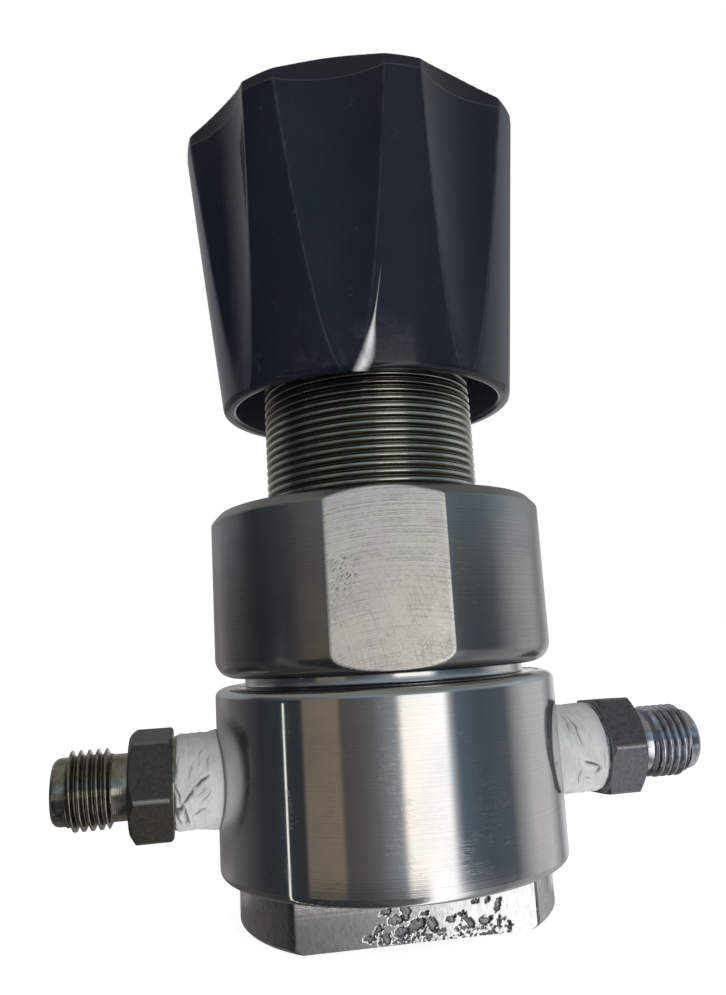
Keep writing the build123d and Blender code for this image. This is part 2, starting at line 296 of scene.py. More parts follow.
class Look(Nodes):
    """A material made of nodes round one Principled shader. Coordinates are in millimetres."""

    def __init__(self, name, metallic=0.0, roughness=0.5, colour=(0.5, 0.5, 0.5), **constant):
        self.material = bpy.data.materials.new(name)
        self.material.use_nodes = True
        super().__init__(self.material.node_tree)
        self.shader = self.tree.nodes["Principled BSDF"]
        self.set(self.shader, {"Metallic": metallic, "Roughness": roughness, "Base Color": colour})
        sockets = {key.replace("_", " ").title().replace("Ior", "IOR"): value for key,
                   value in constant.items()}
        self.set(self.shader, sockets)
        place = self.add("TexCoord").outputs["Object"]
        scale = self.add("VectorMath", {0: place, "Scale": 1 / MM}, operation="SCALE")
        self.place = scale.outputs[0]
        split = self.add("SeparateXYZ", {0: self.place})
        self.x, self.y, self.z = split.outputs

    def vector(self, x, y, z):
        return self.add("CombineXYZ", {0: x, 1: y, 2: z}).outputs[0]

    def noise(self, scale, place=None, detail=3.0, rough=0.5, distortion=0.0):
        values = {"Vector": place or self.place, "Scale": scale, "Detail": detail,
                  "Roughness": rough, "Distortion": distortion}
        return self.add("TexNoise", values).outputs["Fac"]

    def lines(self, along, per_mm, detail=2.0, wander=0.0):
        """Fine lines across one coordinate, as a cutting tool leaves them."""
        position = self.math("MULTIPLY", along, per_mm)
        if wander:
            position = self.math("ADD", position, self.math("MULTIPLY", self.noise(0.2), wander))
        values = {"W": position, "Scale": 1.0, "Detail": detail, "Roughness": 0.7}
        return self.add("TexNoise", values, noise_dimensions="1D").outputs["Fac"]

    def bump(self, height, depth, onto=None):
        """Bump of a depth in millimetres; several may be stacked."""
        values = {"Height": height, "Distance": depth * MM, "Strength": 1.0}
        if onto:
            values["Normal"] = onto
        return self.add("Bump", values).outputs[0]

    def scratches(self, scale, stretch, turn, keep):
        """Thin short scratches in one direction, 1 on a scratch."""
        mapping = self.add("Mapping", {"Vector": self.place, "Rotation": turn, "Scale": stretch})
        fine = self.noise(scale, mapping.outputs[0], detail=1.0)
        patch = self.noise(0.25, detail=1.0)
        line = self.ramp(self.math("ABSOLUTE", self.math("SUBTRACT", fine, 0.5)), 0.0, 0.012, 1.0, 0.0)
        return self.math("MULTIPLY", line, self.ramp(patch, keep, keep + 0.06))

    def done(self, colour=None, rough=None, normal=None):
        for key, value in (("Base Color", colour), ("Roughness", rough), ("Normal", normal)):
            if value is not None:
                self.set(self.shader, {key: value})
        return self.material


def turned_stainless():
    """Polished turned steel of the body: bright, with fine rings and faint handling marks."""
    look = Look("turned stainless", metallic=1.0)
    rings = look.lines(look.z, 4.5, detail=3.0, wander=0.15)
    patch = look.noise(0.12, detail=4.0)
    band = look.noise(0.06, look.vector(look.x, look.y, look.times(look.z, 0.25)), detail=1.0)
    colour = look.mix(look.ramp(patch, 0.35, 0.65), (0.71, 0.705, 0.69), (0.65, 0.655, 0.66))
    colour = look.mix(look.ramp(rings, 0.35, 0.75, 0.0, 0.30), colour, (0.50, 0.49, 0.48))
    marks = look.scratches(0.5, (1, 1, 6.0), (0.05, 0.1, 0.0), 0.52)
    colour = look.mix(look.times(marks, 0.25), colour, (0.8, 0.8, 0.78))
    rough = look.ramp(patch, 0.3, 0.7, 0.045, 0.075)
    rough = look.plus(rough, look.ramp(band, 0.4, 0.65, 0.0, 0.03))
    # duller round the ports, so that the hexagons' reflection blurs; this wear is a guess
    rise = look.minus(look.z, PORT_Z)
    off_port = look.hypot(look.y, rise)
    dull = look.times(look.ramp(off_port, 10.5, 17.0, 1.0, 0.0),
                      look.ramp(look.absolute(look.x), 16.0, 21.0))
    rough = look.plus(rough, look.times(dull, look.ramp(patch, 0.3, 0.7, 0.30, 0.38)))
    normal = look.bump(rings, 0.0016)
    normal = look.bump(marks, 0.0015, normal)
    return look.done(colour, rough, normal)


def base_steel():
    """Ground steel of the base cap: pale grain on its wrench flats, dark where it is bitten, partly the
    bitten metal and partly painted shade in the dents.
    """
    look = Look("base steel", metallic=1.0)
    grain = look.noise(2.4, look.vector(look.x, look.y, look.times(look.z, 0.35)), detail=6.0, rough=0.7)
    fine = look.noise(5.0, detail=3.0, rough=0.6)
    rings = look.lines(look.z, 3.0, detail=2.0)
    dented = look.mark("dent")
    frayed = look.plus(dented, look.times(look.minus(fine, 0.5), 0.9))
    # dark in the bites and in a ring round them: partly the bitten metal, partly painted shade in the dents
    chip = look.times(look.ramp(frayed, 0.35, 0.6), look.ramp(dented, 0.05, 0.2))
    colour = look.mix(look.ramp(grain, 0.35, 0.7), (0.74, 0.74, 0.74), (0.50, 0.50, 0.51))
    streak = look.noise(1.7, look.vector(look.plus(look.x, look.times(look.z, 0.6)), look.y,
                                         look.times(look.z, 0.2)), detail=4.0)
    dark = look.mix(look.ramp(streak, 0.4, 0.62), (0.10, 0.10, 0.105), (0.36, 0.36, 0.37))
    colour = look.mix(look.times(chip, look.ramp(fine, 0.3, 0.55, 0.75, 1.0)), colour, dark)
    rim = look.times(look.ramp(dented, 0.02, 0.12), look.ramp(fine, 0.42, 0.58, 1.0, 0.15))
    colour = look.mix(look.times(rim, 0.8), colour, (0.22, 0.22, 0.225))
    rough = look.ramp(grain, 0.3, 0.7, 0.05, 0.09)
    rough = look.plus(rough, look.times(chip, 0.25))
    normal = look.bump(look.plus(grain, look.times(rings, 0.3)), 0.004)
    normal = look.bump(look.times(chip, fine), 0.03, normal)
    return look.done(colour, rough, normal)


FLAT_TURN = -8.0
FLAT_AT = 25.55


def bonnet_steel():
    """Dull turned steel; its two wrench flats are fly-cut in pale crossing arcs. Their paleness is partly the
    cut finish and partly a painted reflection of a bright light.
    """
    look = Look("bonnet steel", metallic=1.0)
    turn = math.radians(FLAT_TURN)
    out = look.plus(look.times(look.x, -math.sin(turn)), look.times(look.y, math.cos(turn)))
    along = look.plus(look.times(look.x, math.cos(turn)), look.times(look.y, math.sin(turn)))
    flat = look.ramp(look.absolute(out), FLAT_AT - 0.07, FLAT_AT - 0.03)
    # round surface
    rings = look.lines(look.z, 5.0, detail=3.0, wander=0.2)
    patch = look.noise(0.1, detail=4.0)
    round_colour = look.mix(look.ramp(patch, 0.35, 0.65), (0.44, 0.43, 0.405), (0.37, 0.375, 0.375))
    round_colour = look.mix(look.ramp(rings, 0.4, 0.75, 0.0, 0.35), round_colour, (0.25, 0.245, 0.24))
    marks = look.scratches(0.45, (1, 1, 5.0), (0.06, 0.1, 0.2), 0.5)
    round_colour = look.mix(look.times(marks, 0.3), round_colour, (0.5, 0.5, 0.48))
    round_rough = look.ramp(patch, 0.3, 0.7, 0.19, 0.26)
    # cutter marks on the flats: one set of wide flat arcs, one of upright arcs lower down
    middle = (BONNET_Z + BONNET_TOP) / 2
    height = look.minus(look.z, middle)
    wander = look.times(look.minus(look.noise(0.35), 0.5), 1.3)

    def arcs(across, up, per_mm):
        dx, dz = look.minus(along, across), look.minus(height, up)
        far = look.hypot(dx, dz)
        far = look.plus(far, look.times(wander, 0.16))
        return look.lines(far, per_mm, detail=1.0)
    level = look.ramp(arcs(1.5, -34.0, 3.6), 0.38, 0.66)
    upright = look.ramp(arcs(-34.0, -16.0, 3.4), 0.38, 0.66)
    where = look.ramp(look.plus(height, look.times(wander, 4.0)), -1.0, 8.0, 1.0, 0.1)
    where = look.times(where, look.ramp(look.noise(0.5, detail=2.0), 0.35, 0.6, 0.5, 1.0))
    broken = look.ramp(look.noise(1.5, detail=3.0, rough=0.7), 0.35, 0.6, 0.55, 1.0)
    fade = look.times(look.ramp(look.noise(0.3, detail=2.0), 0.3, 0.65, 0.5, 1.0), broken)
    cut = look.times(look.math("MAXIMUM", level, look.times(upright, where)), fade)
    grit = look.noise(2.6, detail=4.0, rough=0.7)
    # the flats' pale colour, brighter than the round steel: partly the fly-cut finish, partly a painted
    # reflection of a bright light
    pale = look.mix(look.ramp(look.noise(0.13), 0.4, 0.62), (1.0, 0.97, 0.86), (0.98, 0.91, 0.84))
    flat_colour = look.mix(look.times(look.ramp(cut, 0.2, 0.9), 0.48), pale, (0.48, 0.46, 0.38))
    nick = look.times(look.ramp(look.absolute(look.plus(along, 6.0)), 0.8, 2.4, 1.0, 0.0),
                      look.ramp(look.absolute(look.minus(height, 0.6)), 1.5, 3.6, 1.0, 0.0))
    gouge = look.noise(1.0, look.vector(look.times(look.plus(along, height), 0.9), 0.0,
                                        look.times(look.minus(height, along), 3.0)), detail=2.0)
    nick = look.times(nick, look.ramp(gouge, 0.56, 0.64))
    flat_colour = look.mix(look.times(nick, 0.85), flat_colour, (0.12, 0.11, 0.095))
    flat_colour = look.mix(look.ramp(grit, 0.55, 0.75, 0.0, 0.25), flat_colour, (0.5, 0.48, 0.46))
    colour = look.mix(flat, round_colour, flat_colour)
    rough = look.mix_value(flat, round_rough, look.ramp(grit, 0.3, 0.7, 0.36, 0.48))
    height_map = look.mix_value(flat, look.times(rings, 0.25), cut)
    normal = look.bump(height_map, 0.012)
    normal = look.bump(marks, 0.003, normal)
    return look.done(colour, rough, normal)


def thread_steel():
    """Dark thread steel with bright crests; the flanks and roots are darker."""
    look = Look("thread steel", metallic=1.0)
    patch = look.noise(0.25, detail=4.0)
    far = look.hypot(look.x, look.y)
    crest = look.ramp(far, SLEEVE_R - 0.36, SLEEVE_R - 0.04)
    deep = look.mix(look.ramp(patch, 0.35, 0.65), (0.15, 0.145, 0.118), (0.21, 0.20, 0.16))
    bright = look.mix(look.ramp(patch, 0.4, 0.6), (0.64, 0.62, 0.52), (0.50, 0.485, 0.41))
    colour = look.mix(crest, deep, bright)
    grime = look.noise(0.9, detail=6.0, rough=0.7)
    rough = look.plus(look.ramp(grime, 0.3, 0.7, 0.10, 0.20), look.ramp(crest, 0.0, 1.0, 0.15, 0.0))
    return look.done(colour, rough, look.bump(grime, 0.004))


def fitting_steel(name, tint_with_painted_light, hex_from):
    """Worn connector steel: dull scaly hexagon with bright rubbed corners, brighter turned ends."""
    look = Look(name, metallic=1.0)
    hex_to, hex_r = hex_from + HEX_W, HEX_AF / math.sqrt(3)
    away = look.absolute(look.x)
    rise = look.minus(look.z, PORT_Z)
    far = look.hypot(look.y, rise)
    on_hex = look.times(look.ramp(away, hex_from - 0.05, hex_from),
                        look.ramp(away, hex_to, hex_to + 0.05, 1.0, 0.0))
    on_hex = look.times(on_hex, look.ramp(far, 6.9, 7.1))
    scale = look.noise(1.6, detail=7.0, rough=0.75)
    patch = look.noise(0.3, detail=3.0)
    frayed = look.plus(far, look.times(look.minus(scale, 0.5), 0.28))
    corner = look.times(on_hex, look.ramp(frayed, hex_r - 0.24, hex_r - 0.12, 0.0, 0.8))
    # every colour here is scaled from the tint, which carries painted light and shade for this fitting
    dull = look.mix(look.ramp(scale, 0.35, 0.65), tuple(0.8 * c for c in tint_with_painted_light), tuple(1.25 * c for c in tint_with_painted_light))
    bright = look.mix(look.ramp(patch, 0.35, 0.65), tuple(3.4 * c for c in tint_with_painted_light),
                      tuple(2.8 * c for c in tint_with_painted_light))
    rubbed = look.mix(look.ramp(scale, 0.4, 0.7), (0.50, 0.49, 0.45), (0.34, 0.33, 0.31))
    on_thread = look.times(look.ramp(away, hex_to + 2.3, hex_to + 2.5),
                           look.ramp(away, hex_to + 8.9, hex_to + 9.2, 1.0, 0.0))
    pit = look.ramp(far, FIT_R - 0.68, FIT_R - 0.15, 1.0, 0.0)
    bright = look.mix(look.times(on_thread, pit), bright, tuple(1.5 * c for c in tint_with_painted_light))
    stain = look.ramp(look.noise(0.7, detail=5.0, rough=0.65), 0.45, 0.62)
    bright = look.mix(look.times(stain, 0.45), bright, tuple(0.9 * c for c in tint_with_painted_light))
    colour = look.mix(on_hex, bright, dull)
    colour = look.mix(corner, colour, rubbed)
    hex_rough = look.ramp(scale, 0.3, 0.7, 0.34, 0.5)
    turned_rough = look.ramp(patch, 0.3, 0.7, 0.09, 0.17)
    rough = look.mix_value(on_hex, turned_rough, hex_rough)
    rings = look.lines(look.x, 6.0, detail=2.0)
    height = look.mix_value(on_hex, look.times(rings, 0.3), scale)
    return look.done(colour, rough, look.bump(height, 0.022))


def ptfe_tape():
    """Thin white thread tape, with dirt and painted shade in its creases and painted shade where it meets the
    body.
    """
    look = Look("ptfe tape", roughness=0.5, colour=(0.86, 0.87, 0.86))
    crease_dirt_and_shade = look.mark("crease_dirt_and_shade")
    soft = look.noise(0.45, detail=4.0)
    weave = look.lines(look.x, 3.6, detail=3.0, wander=2.2)
    white = look.mix(look.ramp(soft, 0.35, 0.65), (0.82, 0.84, 0.82), (0.70, 0.72, 0.70))
    colour = look.mix(look.ramp(weave, 0.45, 0.75, 0.0, 0.45), white, (0.60, 0.62, 0.60))
    # dark where the crease mark is set: dirt and painted shade in the creases, painted contact shade at the
    # body wall
    colour = look.mix(look.ramp(crease_dirt_and_shade, 0.2, 0.9, 0.0, 0.9), colour, (0.10, 0.095, 0.08))
    rough = look.ramp(soft, 0.3, 0.7, 0.38, 0.55)
    return look.done(colour, rough, look.bump(weave, 0.03))


def knob_black():
    """Glossy moulded knob: near-black blue, with faint swirls and dust, paler towards its foot, a painted
    highlight as a pale wedge at the foot of the front flute and a faint painted highlight along the parting
    line. Its hollow is painted paler, standing in for the light that gets into it.
    """
    look = Look("knob black", colour=(0.006, 0.0075, 0.012), roughness=0.12, ior=1.5)
    cloud = look.noise(0.09, detail=4.0)
    haze = look.noise(0.35, detail=6.0, rough=0.65, distortion=0.6)
    swirl = look.scratches(0.4, (1, 1, 0.5), (0.9, 0.4, 0.0), 0.58)
    speck = look.ramp(look.noise(4.5, detail=1.0), 0.76, 0.80)
    low_down = look.ramp(look.z, KNOB_Z + 2.0, KNOB_Z + 11.0, 1.0, 0.0)
    smear = look.times(look.ramp(haze, 0.5, 0.72), look.ramp(low_down, 0.0, 1.0, 0.10, 0.9))
    # a pale wedge on the front flute's right edge, at the rim: a painted highlight
    turn = look.times(look.math("ARCTAN2", look.x, look.times(look.y, -1.0)), 180 / math.pi)
    rise = look.minus(look.z, KNOB_Z)
    edge = look.plus(FLUTE_TURN + 4.2, look.times(look.math("POWER", rise, 0.62), 1.65))
    width = look.ramp(rise, 0.0, 9.0, 3.6, 0.35)
    off = look.math("DIVIDE", look.absolute(look.minus(turn, edge)), width)
    wedge = look.times(look.ramp(off, 0.0, 1.0, 1.0, 0.0), look.ramp(rise, 3.0, 16.0, 1.0, 0.0))
    wedge = look.times(wedge, look.ramp(haze, 0.25, 0.6, 0.5, 1.0))
    # paler along the flute edges
    flute_edge_pale = look.mark("flute_edge")
    flute_edge_pale = look.times(flute_edge_pale, look.ramp(look.noise(0.5, detail=4.0), 0.35, 0.65, 0.25, 1.0))
    # a thin pale line round the parting line: a painted highlight of the rounded parting edge
    line = look.absolute(look.minus(look.z, KNOB_LINE))
    line = look.times(look.ramp(line, 0.05, 0.16, 1.0, 0.0), look.ramp(cloud, 0.4, 0.6, 0.2, 1.0))
    brim = look.ramp(look.z, KNOB_LINE - 0.02, KNOB_LINE + 0.02)
    far = look.hypot(look.x, look.y)
    # the hollow's inside is painted paler: painted light, standing in for the light that gets into it
    hollow = look.times(look.ramp(far, KNOB_RIM_R - 2.12, KNOB_RIM_R - 2.06, 1.0, 0.0),
                        look.ramp(look.z, KNOB_TOP - 6.0, KNOB_TOP - 5.0, 1.0, 0.0))
    colour = look.mix(look.ramp(cloud, 0.35, 0.7), (0.0050, 0.0072, 0.0140), (0.0075, 0.0095, 0.0165))
    colour = look.mix(look.times(smear, 0.14), colour, (0.10, 0.11, 0.14))
    colour = look.mix(look.times(brim, 0.10), colour, (0.045, 0.052, 0.07))
    colour = look.mix(look.times(look.math("MAXIMUM", swirl, speck), 0.05), colour, (0.2, 0.21, 0.23))
    colour = look.mix(look.times(look.math("MAXIMUM", flute_edge_pale, line), 0.13), colour, (0.25, 0.27, 0.30))
    colour = look.mix(hollow, colour, (0.10, 0.11, 0.15))
    # the wedge's near-white colour is a painted highlight
    colour = look.mix(look.times(wedge, 0.95), colour, (0.90, 0.91, 0.90))
    rough = look.plus(look.ramp(cloud, 0.3, 0.7, 0.09, 0.13), look.times(smear, 0.16))
    rough = look.plus(rough, look.times(wedge, 0.3))
    normal = look.bump(look.noise(0.22, detail=2.0), 0.015)
    normal = look.bump(haze, 0.001, normal)
    return look.done(colour, rough, normal)


def plain_metal(name, colour, rough, along_lines=True):
    """Inner metal parts: turned rings, patches and a little grime."""
    look = Look(name, metallic=1.0)
    patch = look.noise(0.3, detail=4.0)
    rings = look.lines(look.z, 5.0, detail=2.0)
    shade = tuple(0.75 * c for c in colour)
    mixed = look.mix(look.ramp(patch, 0.35, 0.65), colour, shade)
    if along_lines:
        mixed = look.mix(look.ramp(rings, 0.4, 0.8, 0.0, 0.4), mixed, tuple(0.6 * c for c in colour))
    return look.done(mixed, look.ramp(patch, 0.3, 0.7, rough, rough + 0.12), look.bump(rings, 0.003))


def plain_soft(name, colour, rough, grain):
    """Inner seals and polymer parts: mottled, with a fine grain."""
    look = Look(name)
    patch = look.noise(0.5, detail=4.0)
    fine = look.noise(grain, detail=5.0, rough=0.7)
    mixed = look.mix(look.ramp(patch, 0.35, 0.65), colour, tuple(0.7 * c for c in colour))
    mixed = look.mix(look.ramp(fine, 0.55, 0.8, 0.0, 0.3), mixed, tuple(1.4 * c for c in colour))
    return look.done(mixed, look.ramp(fine, 0.3, 0.7, rough, rough + 0.15), look.bump(fine, 0.01))


# ---- knob ----
LOBES = 8
FLUTE_TURN = -17.0
KNOB_RIM_R = 24.3
KNOB_TOP_R = 29.13
KNOB_LINE = KNOB_Z + 44.9
KNOB_SHOULDER = KNOB_Z + 46.6
FLUTE_R = 20.0
FLUTE_LEAN = math.tan(math.radians(2.2))
FLUTE_LOW = KNOB_Z + 0.6
EDGE = 0.34


def cone_r(z):
    part = min((z - KNOB_Z) / (KNOB_LINE - KNOB_Z), 1.0)
    return KNOB_RIM_R + part * (KNOB_TOP_R - KNOB_RIM_R)


def flute_axis(z):
    return KNOB_RIM_R + FLUTE_R + FLUTE_LEAN * (z - FLUTE_LOW)


def flute_half_angle(z):
    """Degrees from a flute's middle to where it meets the cone."""
    r, d = cone_r(z), flute_axis(z)
    return math.degrees(math.acos(min(1.0, (r * r + d * d - FLUTE_R ** 2) / (2 * r * d))))


def knob_angle(column, z):
    """Columns follow the flute's edge, so that the edge runs along the mesh."""
    lobe, part = divmod(column, 2.0)
    edge = max(flute_half_angle(z), 2.6)
    half = 180 / LOBES
    side = part - 1.0
    reach = abs(side)
    angle = reach / 0.5 * edge if reach < 0.5 else edge + (reach - 0.5) / 0.5 * (half - edge)
    return FLUTE_TURN + lobe * 360 / LOBES + math.copysign(angle, side)


def knob_shape(radius, z, column):
    """Outer wall: a cone with an upright brim, cut by eight leaning flutes."""
    angle = knob_angle(column, z)
    from_flute = (angle - FLUTE_TURN + 180 / LOBES) % (360 / LOBES) - 180 / LOBES
    c, s = cosine(from_flute), sine(from_flute)
    d = flute_axis(z)
    inside = FLUTE_R ** 2 - (d * s) ** 2
    flute = d * c - math.sqrt(inside) if inside > 0 else 99.0
    if z > KNOB_LINE:
        flute -= 0.07 * (z - KNOB_LINE)
    return smooth_min(radius, flute, EDGE), angle


def make_knob(look):
    bm = bmesh.new()
    outer = [(KNOB_RIM_R - 2.2, KNOB_Z + 6), (KNOB_RIM_R - 2.2, KNOB_Z + 0.4), (KNOB_RIM_R - 1.8, KNOB_Z),
             (KNOB_RIM_R - 0.5, KNOB_Z), (KNOB_RIM_R, KNOB_Z + 0.5),
             (KNOB_TOP_R, KNOB_LINE, 0.15), (KNOB_TOP_R - 0.02, KNOB_SHOULDER), (25.6, KNOB_TOP - 0.1),
             (25.2, KNOB_TOP), (12.0, KNOB_TOP)]
    outer = rounded(outer, 0.35, steps=4)
    outer = spread(outer, 1.6, KNOB_Z + 0.8, KNOB_LINE - 0.5)
    outer = spread(outer, 0.16, KNOB_LINE - 0.4, KNOB_TOP - 0.05)
    inner = rounded([(12.0, KNOB_TOP), (CAP_HIGH[0] + 0.1, KNOB_TOP), (CAP_HIGH[0] + 0.1, CAP_LOW[2]),
                     (6.0, CAP_LOW[2]), (6.0, INSERT_HIGH[2]), (INSERT_HIGH[0] + 0.05, INSERT_HIGH[2]),
                     (INSERT_HIGH[0] + 0.05, INSERT_LOW[2]), (KNOB_RIM_R - 2.2, INSERT_LOW[2]),
                     (KNOB_RIM_R - 2.2, KNOB_Z + 6)], 0.12, steps=2)
    parts = sorted({round(side * step, 4) for side in (-1, 1) for step in
                    [0.0, 0.1, 0.2, 0.3, 0.38, 0.43, 0.465, 0.482, 0.494, 0.506, 0.518, 0.535, 0.57, 0.63,
                     0.72, 0.81, 0.91]} | {1.0})
    columns = [2.0 * lobe + 1.0 + part for lobe in range(LOBES) for part in parts]

    def place(row, column):
        radius, z = row
        wall, angle = knob_shape(radius, z, column)
        if radius < KNOB_RIM_R - 1.0 or row in inner:
            wall = radius
        return polar(wall, angle, z)
    layer = bm.verts.layers.float.new("flute_edge")
    grid = sweep_rows(bm, outer + inner[1:], columns, place)
    for row, line in zip(outer, grid):
        for column, vertex in zip(columns, line):
            near = abs(abs(column % 2.0 - 1.0) - 0.5)
            if row[0] > KNOB_RIM_R - 0.8 and row[1] < KNOB_SHOULDER and flute_half_angle(row[1]) > 2.6:
                vertex[layer] = max(0.0, 1.0 - near / 0.02)
    return finish_mesh(bm, "knob_shell", "adjuster", look, ["knob"])


# ---- sleeve ----
SLEEVE_R = 17.46
PITCH = 1.27


def thread_profile(crest, root, crest_width=0.3, root_width=0.16):
    """Points of one pitch of a truncated V thread with softened corners."""
    drop = crest - root
    a, b = root_width / 2, 0.5 - crest_width / 2
    soft = 0.045
    half = [(0.0, root), (a, root + 0.04 * drop), (a + soft, root + 0.16 * drop),
            (b - soft, crest - 0.16 * drop), (b, crest - 0.02 * drop), (b + 0.04, crest)]
    return half + [(1 - f, r) for f, r in reversed(half[1:])]


def make_sleeve(look):
    bm = bmesh.new()
    columns = around(144)
    z0, z1 = BONNET_TOP - 6.0, SLEEVE_TOP - 1.2
    screw_thread(bm, columns, z0, z1, PITCH, thread_profile(SLEEVE_R, SLEEVE_R - 0.62), SLEEVE_R - 0.62)
    root = SLEEVE_R - 0.62
    flange = node_box("bonnet_slip_ring")[0][2]
    roof = node_box("stop_collar")[1][2] + 0.4
    bore = 12.9
    foot = SLEEVE_Z
    section = [(root, z1), (root, SLEEVE_TOP - 0.5), (root - 0.5, SLEEVE_TOP), (6.0, SLEEVE_TOP), (6.0, roof),
               (bore, roof), (bore, foot + 3.4), (bore - 0.6, foot + 3.4), (bore - 0.6, foot + 1.9),
               (bore - 0.2, foot + 1.9), (bore - 0.2, foot), (18.0, foot), (18.0, flange - 3.2),
               (21.0, flange - 3.2), (21.0, flange), (root, flange), (root, z0)]
    lathe(bm, rounded(section, 0.12, steps=2), columns)
    return finish_mesh(bm, "sleeve_thread", "housing", look, ["threaded_sleeve"])


# ---- bonnet and base ----
def crowded(centres, reach, fine, coarse):
    """Angles round a turn, close together near some centres and further apart elsewhere."""
    angles, angle = [], 0.0
    while angle < 360 - 1e-6:
        angles.append(angle)
        near = min(abs((angle - c + 180) % 360 - 180) for c in centres)
        angle += fine if near < reach else coarse
    return angles


def make_bonnet(look):
    bm = bmesh.new()
    foot = 3.0
    arc = [(BONNET_R - foot + foot * math.sin(t), BONNET_Z + foot - foot * math.cos(t))
           for t in [math.radians(90 * i / 16) for i in range(17)]]
    top = [(BONNET_R, BONNET_TOP - 1.6), (BONNET_R - 1.45, BONNET_TOP), (21.0, BONNET_TOP)]
    outer = arc[:-1] + rounded([arc[-1]] + top, 0.3, steps=5)
    outer = spread(outer, 0.16, BONNET_TOP - 1.7, BONNET_TOP + 0.1)
    outer = spread(outer, 2.2, BONNET_Z + foot, BONNET_TOP - 1.6)
    slip = node_box("bonnet_slip_ring")[1][2]
    inner = rounded([(21.0, BONNET_TOP), (SLEEVE_R + 0.1, BONNET_TOP), (SLEEVE_R + 0.1, slip), (21.7, slip),
                     (21.7, BONNET_Z), (BONNET_R - foot, BONNET_Z)], 0.25, steps=3)
    half = math.degrees(math.acos(FLAT_AT / BONNET_R))
    edges = [FLAT_TURN + side * half + turn for side in (-1, 1) for turn in (0, 180)]
    columns = crowded(edges, 4.0, 0.3, 1.5)

    def shape(radius, z, angle):
        from_flat = (angle - FLAT_TURN + 90) % 180 - 90
        return smooth_min(radius, FLAT_AT / max(cosine(from_flat), 0.1), 0.07), z
    lathe(bm, outer + inner[1:], columns, shape)
    return finish_mesh(bm, "bonnet_shell", "housing", look, ["bonnet"])


BASE_FLAT = 17.35
BASE_TURN = -2.3
CELL = 0.62
# The deepest wrench bites: distance along the flat, height, radius.
BITES = [(-4.6, 4.3, 0.6), (-3.3, 3.2, 0.8), (-1.7, 4.2, 0.9), (-0.4, 2.3, 1.05), (-2.6, 1.6, 0.85),
         (-5.6, 2.2, 0.6), (-6.8, 1.2, 0.55), (0.9, 3.6, 0.5), (1.9, 2.1, 0.8), (-4.6, 0.9, 0.6),
         (8.4, 6.2, 0.6), (9.7, 6.1, 0.45), (8.2, 4.6, 0.5), (11.3, 3.8, 0.7), (10.0, 4.5, 0.4),
         (6.9, 5.6, 0.35), (4.6, 2.6, 0.65), (6.2, 3.1, 0.4), (7.2, 1.9, 0.6), (9.3, 1.9, 0.8),
         (11.4, 1.6, 0.5), (12.8, 1.1, 0.5)]


def bite(across, z):
    """Depth of the wrench bites on the front flat: ragged single dents and a chewed lower edge."""
    rag = Vector((across * 2.3, z * 2.3, 2.6))
    across += 0.38 * noise.noise(rag)
    z += 0.38 * noise.noise(rag + Vector((5.0, 3.0, 1.0)))
    depth = 0.0
    for centre, height, size in BITES:
        dx, dz = across - centre, z - height
        if abs(dx) < 1.6 * size and abs(dz) < 1.6 * size:
            lean = 0.8 + math.sin(7.3 * centre + 3.1 * height)
            u, v = dx * math.cos(lean) + dz * math.sin(lean), dz * math.cos(lean) - dx * math.sin(lean)
            shape = max(abs(u) / 1.4, 1.25 * abs(v), abs(0.75 * u - v)) / size
            depth = max(depth, 0.15 * smooth_step(1.0, 0.62, shape) * (1.0 + 0.5 * dx / size))
    place = Vector((across / CELL, z / (0.8 * CELL), 3.7))
    distances, points = noise.voronoi(place, distance_metric="DISTANCE", exponent=2.5)
    chip = points[0]
    centre_x, centre_z = chip.x * CELL, chip.y * 0.8 * CELL
    along = smooth_step(-7.8, -6.0, centre_x) * (1 - smooth_step(12.5, 14.0, centre_x))
    reach = 1.5 + 0.9 * noise.noise(Vector((centre_x * 0.45, 0.3, 8.1)))
    chance = along * (1 - smooth_step(0.6 * reach, 1.7 * reach, centre_z))
    if noise.cell(chip * 7.3 + Vector((0.5, 0.5, 0.5))) * 0.5 + 0.5 < 0.85 * chance:
        depth = max(depth, 0.09 * smooth_step(0.04, 0.6, distances[1] - distances[0]))
    return depth


